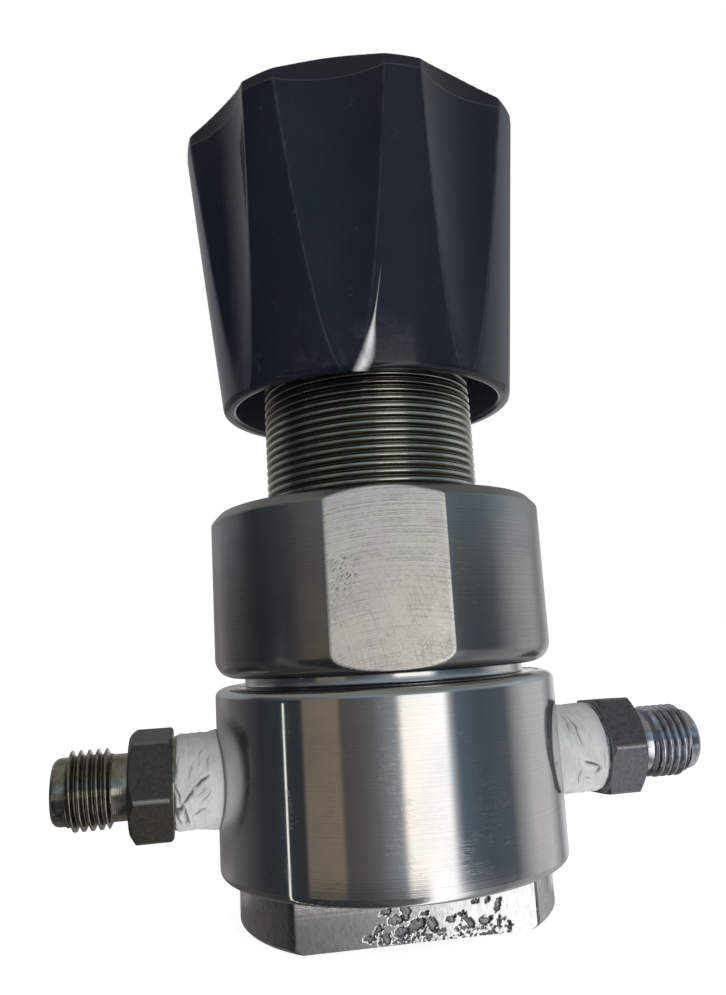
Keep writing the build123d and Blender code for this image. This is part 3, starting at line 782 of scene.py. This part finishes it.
def make_base(look):
    bm = bmesh.new()
    top, plug_r, plug_top = BASE_TOP, 12.0, BASE_HIGH[2]
    section = [(0.0, 0.0), (5.0, 0.0), (10.0, 0.0), (14.5, 0.0), (16.3, 0.0), (16.7, 0.0),
               (BASE_R - 0.6, 0.0), (BASE_R, 0.6), (BASE_R, top - 0.3), (BASE_R - 0.3, top), (plug_r, top),
               (plug_r, plug_top), (0.0, plug_top)]
    outline = spread(rounded(section, 0.2, steps=3), 0.13, 0.01, top - 0.01)
    half = math.degrees(math.acos(BASE_FLAT / BASE_R))
    edges = [BASE_TURN + side * half + turn for side in (-1, 1) for turn in (0, 180)]
    columns = sorted(set(crowded(edges, 2.5, 0.35,
                                 2.0)) | {(BASE_TURN + 0.34 * i) % 360 for i in range(-128, 129)})

    def shape(radius, z, angle):
        from_flat = (angle - BASE_TURN + 90) % 180 - 90
        slant = max(cosine(from_flat), 0.1)
        wall = smooth_min(radius, BASE_FLAT / slant, 0.12)
        front = abs((angle - BASE_TURN + 180) % 360 - 180) < 90
        if front and radius > BASE_FLAT + 0.5 and abs(wall - BASE_FLAT / slant) < 0.05 and z < top - 0.2:
            wall -= bite(BASE_FLAT * math.tan(math.radians(from_flat)), z) / slant
        return wall, z
    lathe(bm, outline, columns, shape)
    piece = finish_mesh(bm, "base_foot", "housing", look, ["base_cap"])
    mark = piece.data.attributes.new("dent", "FLOAT", "POINT")
    turn = math.radians(BASE_TURN)
    for vertex, value in zip(piece.data.vertices, mark.data):
        x, y, z = vertex.co / MM
        out = x * math.sin(turn) - y * math.cos(turn)
        value.value = smooth_step(0.006, 0.04, BASE_FLAT - out) if out > 16.9 and z < top - 0.3 else 0.0
    piece.data.set_sharp_from_angle(angle=math.radians(16))
    return piece


# ---- body ----
NECK_R = 22.3
THREAD_R = 21.6
THREAD_TOP = BODY_TOP + 11.1
# The bored inside, from the base up to the guide: radius and height.
BORES = [(14.6, BASE_TOP), (14.6, 9.0), (12.05, 9.0), (12.05, 14.0), (8.05, 14.0), (8.05, 24.6), (6.05, 24.6),
         (6.05, 27.0), (4.5, 27.0), (4.5, 29.0), (12.5, 29.0), (12.5, 31.0), (14.6, 31.0), (14.6, 29.4),
         (16.4, 29.4), (16.4, 31.0), (18.05, 31.0), (18.05, THREAD_TOP)]


def drill(radius, start, end, upright=False):
    """A round cutter along the port line, or standing on it."""
    bm = bmesh.new()
    middle = (start + end) / 2
    bmesh.ops.create_cone(bm, cap_ends=True, segments=72, radius1=radius, radius2=radius, depth=end - start)
    if not upright:
        bm.transform(spin(90, "Y"))
        bm.transform(Matrix.Translation((middle, 0, PORT_Z)))
    else:
        bm.transform(Matrix.Translation((-10.5, 0, middle)))
    bm.transform(Matrix.Scale(MM, 4))
    return make_object(bm, "cutter")


def cut(piece, cutters):
    """Take the cutters out of a piece and keep the result as its mesh."""
    piece.modifiers.clear()
    for cutter in cutters:
        take = piece.modifiers.new("take", "BOOLEAN")
        take.operation, take.solver, take.object = "DIFFERENCE", "EXACT", cutter
    graph = bpy.context.evaluated_depsgraph_get()
    mesh = bpy.data.meshes.new_from_object(piece.evaluated_get(graph))
    piece.modifiers.clear()
    piece.data = mesh
    for cutter in cutters:
        bpy.data.objects.remove(cutter)


def make_body(look):
    steps = [math.radians(7.5 * i) for i in range(13)]
    edge = [(BODY_R - 2.0 * (1 - math.cos(t)), BODY_TOP - 1.35 * (1 - math.sin(t))) for t in steps]
    land = [(BODY_R - 2.2, BODY_TOP - 0.15), (BODY_R - 2.5, BODY_TOP - 0.15), (BODY_R - 2.7, BODY_TOP),
            (NECK_R + 0.45, BODY_TOP + 0.02), (NECK_R + 0.15, BODY_TOP + 0.12),
            (NECK_R + 0.02, BODY_TOP + 0.4), (NECK_R, BODY_TOP + 1.3), (THREAD_R, BODY_TOP + 1.3),
            (THREAD_R, THREAD_TOP - 0.8), (THREAD_R - 0.8, THREAD_TOP)]
    foot = rounded([(14.6, BASE_TOP), (BODY_R, BASE_TOP), (BODY_R, BASE_TOP + 3.0)], 0.7, steps=7)
    wall = spread(foot + edge, 0.5, BASE_TOP + 1.0, BODY_TOP - 1.4)
    bm = bmesh.new()
    lathe(bm, wall + land + BORES[::-1], around(300))
    piece = finish_mesh(bm, "body_shell", "housing", look, ["body"])
    ports = [drill(6.9, 14.0, BODY_R + 2.0), drill(6.9, -BODY_R - 2.0, -14.0), drill(5.05, -15.0, -12.4),
             drill(2.4, -13.0, -9.6), drill(1.6, PORT_Z, 30.0, upright=True), drill(2.4, 6.0, 15.0)]
    cut(piece, ports)
    piece.data.set_sharp_from_angle(angle=math.radians(32))
    weighted = piece.modifiers.new("weighted normals", "WEIGHTED_NORMAL")
    weighted.weight, weighted.keep_sharp = 60, True
    return piece


# ---- load spring ----
COIL_R = 10.2
WIRE_R = 1.45
TURNS = 6.2
PISTON_LIFT = 0.85


def make_load_spring(look):
    """A coil with closed ground ends. It leaves the piston room to lift."""
    low, high = node_box("load_spring")[0][2] + PISTON_LIFT, node_box("load_spring")[1][2]
    shut, closed = 0.9, 2.95
    start = low + 0.55 * WIRE_R
    rise = high - low - 1.1 * WIRE_R
    slope = (rise - 2 * shut * closed) / (TURNS - 2 * shut)
    bm = bmesh.new()
    grid = []
    steps = 240
    for i in range(steps + 1):
        turn = TURNS * i / steps
        z = start + closed * min(turn, shut) + slope * min(max(turn - shut, 0), TURNS - 2 * shut)
        z += closed * max(turn - TURNS + shut, 0)
        line = []
        for j in range(18):
            t = math.radians(20 * j)
            height = min(max(z + WIRE_R * math.sin(t), low), high)
            line.append(bm.verts.new(polar(COIL_R + WIRE_R * math.cos(t), 360 * turn, height)))
        grid.append(line)
    join_rows(bm, grid)
    bm.faces.new(grid[0][::-1])
    bm.faces.new(grid[-1])
    piece = finish_mesh(bm, "load_spring_coil", "housing", look, ["load_spring"])
    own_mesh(piece)
    return piece


# ---- tube fittings ----
HEX_AF = 15.0
FIT_R = 5.85
FIT_NECK = 4.9
NPT_R = 6.85
TUBE_R = 3.22
TAPE_R = 7.1
NOSE_W, TUBE_THREAD_W, FIT_NECK_W, HEX_W = 2.2, 6.5, 2.4, 6.4
FIT_OUT = NOSE_W + TUBE_THREAD_W + FIT_NECK_W + HEX_W
FIT_INNER = 14.2


def along_x(side):
    """Turn a piece built up the Z axis so that it lies along the port line."""
    lay = Matrix.Translation((0, 0, PORT_Z)) @ spin(90, "Y")
    return lay if side > 0 else Matrix.Rotation(math.pi, 4, "Z") @ lay


def make_fitting(name, node, side, end, hex_turn, look):
    nose_at = end - NOSE_W
    thread_at = nose_at - TUBE_THREAD_W
    hex_end = thread_at - FIT_NECK_W
    hex_at = hex_end - HEX_W
    flat_r, corner_r = HEX_AF / 2, HEX_AF / math.sqrt(3)
    columns = around(216)
    bm = bmesh.new()
    root = FIT_R - 0.8
    profile = thread_profile(FIT_R, root, crest_width=0.2, root_width=0.2)
    screw_thread(bm, columns, thread_at, nose_at + 0.3, PITCH, profile, FIT_NECK + 0.05, lead=0.5, phase=0.45)
    shank = [(FIT_NECK + 0.05, nose_at + 0.3), (FIT_NECK + 0.03, end - 0.9), (FIT_NECK - 0.15, end - 0.4),
             (FIT_NECK - 0.6, end), (4.1, end), (TUBE_R, end - 2.0), (TUBE_R, hex_at + 2.3),
             (2.4, hex_at + 2.3), (2.4, FIT_INNER), (NPT_R - 0.6, FIT_INNER), (NPT_R, 14.9),
             (NPT_R, hex_at), (flat_r + 0.3, hex_at)]
    hexagon = [(flat_r + 0.3, hex_at), (flat_r + 0.5, hex_at), (corner_r, hex_at + 0.42),
               (corner_r, hex_end - 0.95), (flat_r - 0.3, hex_end), (flat_r - 0.5, hex_end)]
    neck = [(flat_r - 0.5, hex_end), (FIT_NECK, hex_end), (FIT_NECK, thread_at), (FIT_NECK + 0.05, thread_at)]
    hexagon = spread(rounded(hexagon, 0.15, steps=2), 0.14, hex_at + 0.01, hex_at + 1.3)
    hexagon = spread(hexagon, 0.14, hex_end - 1.5, hex_end - 0.01)
    hexagon = spread(hexagon, 0.9)
    outline = rounded(shank, 0.15, steps=3) + hexagon[1:] + rounded(neck, 0.3, steps=4)[1:]

    def shape(radius, s, angle):
        if radius < flat_r - 0.35 or not hex_at - 0.01 <= s <= hex_end + 0.01:
            return radius, s
        from_face = (angle - hex_turn) % 60 - 30
        face = flat_r / cosine(from_face)
        face = smooth_min(face, corner_r - 0.06, 0.12)
        return smooth_min(radius, face, 0.1), s
    lathe(bm, outline, columns, shape)
    return finish_mesh(bm, name, "housing", look, [node], along_x(side))


# ---- thread tape ----
def segment_distance(p, a, b):
    """How far a point is from a short line, and how far along the line it lies."""
    ab, ap = (b[0] - a[0], b[1] - a[1]), (p[0] - a[0], p[1] - a[1])
    t = min(max((ap[0] * ab[0] + ap[1] * ab[1]) / (ab[0] ** 2 + ab[1] ** 2), 0.0), 1.0)
    return math.hypot(ap[0] - t * ab[0], ap[1] - t * ab[1]), t


def make_tape(name, node, side, hex_at, body_r, creases, lip, flare, seed, look):
    """Wrapped tape: loose wraps, fine folds and a few deep creases.

    Places on the wrap are (distance from the valve's axis, angle round the port line),
    with 0 at the top and 90 facing the front."""
    bm = bmesh.new()
    columns = around(240)
    start, rows = 20.0, 96
    layer = bm.verts.layers.float.new("crease_dirt_and_shade")

    def surface(s, angle):
        arc = math.radians(angle) * TAPE_R
        unit = Vector((cosine(angle), sine(angle), 0))
        fold = noise.fractal(Vector((s * 1.5, unit.x * 1.3, unit.y * 1.3 + seed)), 0.8, 2.1, 4)
        wave = noise.noise(Vector((s * 0.35 + seed, unit.x * 1.1, unit.y * 1.1)))
        ridge = 1 - abs(noise.noise(Vector((s * 0.9 + unit.x * 1.9 + seed, unit.x * 0.8, unit.y * 1.6 + 4))))
        r = 7.12 + 0.05 * fold + 0.12 * wave + 0.10 * (ridge ** 4 - 0.6)
        near_body = smooth_step(0, 1, (hex_at - 3.5 - s) / 4)
        r += flare * near_body
        deep = 0.0
        for (s0, a0), (s1, a1), depth, width in creases:
            jitter = 0.35 * noise.noise(Vector((s * 1.1, arc * 0.8, seed + 2)))
            gap, t = segment_distance((s + jitter, arc), (s0, math.radians(a0) * TAPE_R),
                                      (s1, math.radians(a1) * TAPE_R))
            taper = math.sin(math.pi * min(max(t * 0.9 + 0.05, 0), 1)) ** 0.5
            groove = math.exp(-(gap / width) ** 2) * taper
            deep = max(deep, groove * min(1.0, depth / 0.3))
            r += -depth * groove + 0.6 * depth * math.exp(-((gap - 2.1 * width) / (1.4 * width)) ** 2) * taper
        wall = math.sqrt(body_r ** 2 - (TAPE_R * unit.y) ** 2)
        # the tape's last 0.4 mm at the body wall is marked dark: painted contact shade
        deep = max(deep, 0.8 * smooth_step(0.40, 0.05, s - wall))
        return max(r, NPT_R + 0.08), deep
    grid = []
    for i in range(rows + 1):
        line = []
        for angle in columns:
            end = hex_at - 0.12 - lip(angle) + 0.12 * noise.noise(Vector((angle * 0.11, seed, 0.3)))
            s = start + (end - start) * (i / rows)
            r, deep = surface(s, angle)
            close = smooth_step(0.0, 0.5, end - s)
            r = NPT_R + 0.06 + (r - NPT_R - 0.06) * (0.35 + 0.65 * close) if i < rows else NPT_R + 0.05
            vertex = bm.verts.new(polar(r, side * angle, s))
            vertex[layer] = deep
            line.append(vertex)
        grid.append(line)
    join_rows(bm, grid)
    inside = [[bm.verts.new(polar(NPT_R + 0.03, side * a, s)) for a in columns] for s in (start,
                                                                                          hex_at - 2.4)]
    join_rows(bm, [grid[-1], inside[1], inside[0], grid[0]])
    turn = spin(-90, "Z")
    return finish_mesh(bm, name, "housing", look, [node], along_x(side) @ turn)


# ---- studio ----
def add_camera():
    data = bpy.data.cameras.new("camera")
    data.lens, data.sensor_width, data.sensor_fit = LENS, SENSOR, "AUTO"
    data.clip_start = 0.005
    camera = link(bpy.data.objects.new("camera", data))
    orbit = spin(-CAM_AROUND, "Z")
    stand = orbit @ Matrix.Translation((0, -CAM_DISTANCE_M, CAM_HEIGHT_M))
    aim = spin(CAM_PAN, "Z") @ spin(90 + CAM_TILT, "X") @ spin(CAM_ROLL, "Z")
    camera.matrix_world = stand @ aim
    bpy.context.scene.camera = camera


# Soft panels round the valve: degrees round from the camera, brightness, warmth (cool is below 0).
# LOW is level with the body, HIGH is above it, and BELOW is under it. STRIP is a thin bright line:
# degrees round, width in degrees, brightness. The stops follow the brightness measured across the
# body, bonnet and base in the photograph and were then changed. The light is fixed in the scene.
LOW_PANELS = [(-180, 0.80, 0), (-166, 0.44, 0.2), (-152, 0.19, 0.4), (-139, 0.30, 0.3), (-122, 0.15, 0),
              (-103, 0.075, -0.2), (-88, 0.038, -1.2), (-67.6, 0.045, -1.8), (-55.5, 0.042, -1.2),
              (-53.5, 0.165, 1.6), (-31, 0.190, 2.0),
              (-28.5, 0.09, 0.6), (-18, 0.107, 0.2), (-8, 0.155, 0), (1, 0.28, -0.8), (6.5, 0.36, -0.4),
              (10.5, 1.40, 0.6), (37, 1.48, 0.1), (40.5, 0.50, -0.4), (44.5, 0.155, -1.8), (62, 0.10, -1.6),
              (82, 0.12, -1.4), (93, 0.38, -0.2), (104, 0.60, 0.1), (122, 0.66, 0), (138, 0.28, -0.3),
              (151, 0.66, -0.2), (180, 0.80, 0)]
HIGH_PANELS = [(-180, 0.30, 0), (-152, 0.34, 0), (-136, 0.36, -0.6), (-114, 0.28, -0.8), (-104, 0.17, -1.0),
               (-95, 0.05, -1.0), (-77, 0.08, -1.0), (-50, 0.15, -0.8), (-30, 0.22, -1.4), (0, 0.34, -1.8),
               (35, 0.36, -1.7), (55, 0.27, -1.6), (78, 0.30, -1.3), (92, 0.44, -1.4), (110, 0.52, -1.2),
               (128, 0.50, -0.8), (146, 0.32, 0), (180, 0.30, 0)]
BELOW_PANELS = [(-180, 0.22, 0), (-150, 0.13, 0.5), (-110, 0.09, 0.5), (-80, 0.05, -0.5),
                (-50, 0.035, -1.5), (-15, 0.06, -0.6), (10.5, 0.16, 0), (17.5, 0.34, 0), (19.5, 0.60, 0),
                (21.5, 1.35, 0), (26, 1.65, 0), (38, 1.50, 0), (50, 0.40, -0.6), (70, 0.22, -0.6),
                (92, 0.40, 0), (125, 0.50, 0), (180, 0.22, 0)]
OVERHEAD = (0.225, 0.225, 0.21)
LAMP_W = 0.9
STRIP = (-68.6, 0.62, 1.5)


def add_world():
    """A pale studio of tall soft panels with a broad light overhead."""
    world = bpy.data.worlds.new("studio")
    world.use_nodes = True
    bpy.context.scene.world = world
    sky = Nodes(world.node_tree)
    x, y, z = sky.add("SeparateXYZ", {0: sky.add("TexCoord").outputs["Generated"]}).outputs
    turn = sky.math("ARCTAN2", x, sky.times(y, -1.0))
    turn = sky.math("FRACT", sky.plus(sky.math("DIVIDE", turn, 2 * math.pi), 1.5 + CAM_AROUND / 360))
    climb = sky.math("DEGREES", sky.math("ARCSINE", z))

    def panels(stops):
        ramp = sky.add("ValToRGB", {0: turn})
        elements = ramp.color_ramp.elements
        while len(elements) < len(stops):
            elements.new(0.5)
        for element, (angle, bright, warm) in zip(elements, stops):
            element.position = (angle + 180) / 360
            element.color = (bright * (1 + 0.12 * warm) / 2, bright / 2, bright * (1 - 0.12 * warm) / 2, 1)
        return ramp.outputs[0]
    sides = sky.mix(sky.ramp(climb, -16.0, -15.2), panels(BELOW_PANELS), panels(LOW_PANELS))
    where, width, bright = STRIP
    aside = sky.absolute(sky.minus(turn, (where + 180) / 360))
    strip = sky.times(sky.ramp(aside, width * 0.75 / 360, width * 1.25 / 360, 1.0, 0.0),
                      sky.ramp(climb, -4, -1, 1.0, 0.0))
    sides = sky.mix(strip, sides, (bright / 2, bright / 2, bright * 0.45))
    sides = sky.mix(sky.ramp(climb, 3, 9), sides, panels(HIGH_PANELS))
    everything = sky.mix(sky.ramp(climb, 24, 42), sides, tuple(c / 2 for c in OVERHEAD))
    behind = sky.tree.nodes["Background"]
    sky.set(behind, {"Color": everything, "Strength": 2.0})
    plain = sky.add("Background", {"Color": (1, 1, 1), "Strength": 1.0})
    seen = sky.add("LightPath").outputs["Is Camera Ray"]
    shown = sky.add("MixShader", {0: seen, 1: behind.outputs[0], 2: plain.outputs[0]})
    sky.set(sky.tree.nodes["World Output"], {"Surface": shown.outputs[0]})


def add_lamp():
    """A broad soft lamp above the front, for the matt surfaces and the shadow on the floor."""
    data = bpy.data.lights.new("lamp", "AREA")
    data.shape, data.size, data.energy = "DISK", 0.5, LAMP_W
    lamp = link(bpy.data.objects.new("lamp", data))
    lamp.location = (0.10, -0.35, 0.55)
    lamp.rotation_euler = (Vector((0, 0, 0.04)) - lamp.location).to_track_quat("-Z", "Y").to_euler()
    lamp.visible_glossy = False


def add_floor():
    bm = bmesh.new()
    reach = 3.0
    for corner in ((-reach, -reach), (reach, -reach), (reach, reach), (-reach, reach)):
        bm.verts.new((*corner, 0.0))
    bm.faces.new(bm.verts)
    floor = make_object(bm, "floor")
    look = Look("floor paint", roughness=0.9, emission_strength=0.88)
    patch = look.noise(0.01, detail=2.0)
    look.set(look.shader, {"Emission Color": (1.0, 1.0, 1.0)})
    floor.data.materials.append(look.done(look.mix(patch, (0.60, 0.60, 0.60), (0.62, 0.62, 0.62))))
    floor.visible_glossy = False


# ---- put together ----
INLET_CREASES = [((33.2, 118), (32.0, 108), 0.42, 0.34), ((32.0, 108), (30.4, 90), 0.38, 0.28),
                 ((30.4, 90), (28.3, 76), 0.34, 0.24), ((33.3, 96), (32.6, 142), 0.34, 0.26),
                 ((32.0, 108), (31.2, 142), 0.28, 0.24), ((33.4, 84), (32.2, 106), 0.30, 0.20),
                 ((30.6, 56), (31.3, 84), 0.18, 0.20), ((28.7, 114), (30.8, 126), 0.22, 0.22),
                 ((29.2, 36), (29.9, 70), 0.18, 0.16), ((32.8, 50), (33.1, 84), 0.22, 0.16),
                 ((28.0, 92), (29.4, 110), 0.20, 0.18), ((28.1, 44), (28.5, 74), 0.16, 0.16),
                 ((29.8, 100), (28.6, 88), 0.18, 0.18), ((31.8, 30), (32.1, 60), 0.14, 0.16)]
OUTLET_CREASES = [((29.2, 38), (30.1, 80), 0.34, 0.17), ((28.3, 34), (28.9, 64), 0.26, 0.15),
                  ((30.4, 40), (31.0, 66), 0.16, 0.13), ((30.2, 100), (33.0, 108), 0.30, 0.26),
                  ((33.0, 108), (32.4, 118), 0.28, 0.24), ((29.6, 110), (29.4, 136), 0.24, 0.15),
                  ((31.4, 56), (32.0, 82), 0.14, 0.14), ((33.6, 80), (34.0, 120), 0.18, 0.16),
                  ((30.6, 122), (32.0, 128), 0.20, 0.18), ((28.4, 88), (28.7, 116), 0.14, 0.14)]


def inlet_lip(angle):
    """The first wrap stops short of the hexagon over the top and reaches it lower down."""
    return 0.10 + 0.30 * (1 - smooth_step(60, 100, angle)) + 0.30 * smooth_step(250, 300, angle)


def outlet_lip(angle):
    return 0.15 + 0.12 * sine(angle * 2 + 40)


add_camera()
add_world()
add_lamp()
add_floor()
bpy.context.scene.view_settings.view_transform = "Standard"

black = knob_black()
stainless = turned_stainless()
make_knob(black)
make_sleeve(thread_steel())
make_bonnet(bonnet_steel())
make_base(base_steel())
make_body(stainless)
inlet_hex, outlet_hex = INLET_END - FIT_OUT, OUTLET_END - FIT_OUT
# the two fittings are the same steel: the inlet's darker, warmer tint and the outlet's paler, bluer one are
# painted light and shade
inlet_look = fitting_steel("inlet steel", (0.150, 0.143, 0.120), inlet_hex)
outlet_look = fitting_steel("outlet steel", (0.235, 0.24, 0.262), outlet_hex)
make_fitting("inlet_connector", "inlet_fitting", -1, INLET_END, 52.0, inlet_look)
make_fitting("outlet_connector", "outlet_fitting", 1, OUTLET_END, -4.2, outlet_look)
tape = ptfe_tape()
make_tape("inlet_tape_wrap", "inlet_tape", -1, inlet_hex, BODY_R, INLET_CREASES, inlet_lip, 0.35, 1.0, tape)
make_tape("outlet_tape_wrap", "outlet_tape", 1, outlet_hex, BODY_R, OUTLET_CREASES, outlet_lip, 0.05, 5.0,
          tape)

LOOKS = {
    "turned_stainless": stainless,
    "dark_steel": plain_metal("dark steel", (0.32, 0.31, 0.30), 0.26),
    "thread_steel": plain_metal("screw steel", (0.36, 0.35, 0.33), 0.24),
    "knob_black": black,
    "seat_polymer": plain_soft("seat polymer", (0.76, 0.70, 0.58), 0.4, 3.0),
    "seal_rubber": plain_soft("seal rubber", (0.03, 0.03, 0.03), 0.55, 6.0),
    "spring_steel": plain_metal("spring steel", (0.55, 0.55, 0.55), 0.2, along_lines=False),
    "bright_steel": plain_metal("bright steel", (0.6, 0.6, 0.6), 0.18),
    "brass": plain_metal("brass", (0.75, 0.6, 0.32), 0.2),
    "sintered_metal": plain_soft("sintered metal", (0.45, 0.43, 0.40), 0.5, 9.0),
}
make_load_spring(LOOKS["spring_steel"])
slots = {part["node"]: part["material_slot"] for part in frame["record"]["subparts"]}
for name, part in frame["nodes"].items():
    look = LOOKS.get(slots[name], stainless)
    part.data.materials.clear()
    part.data.materials.append(look)
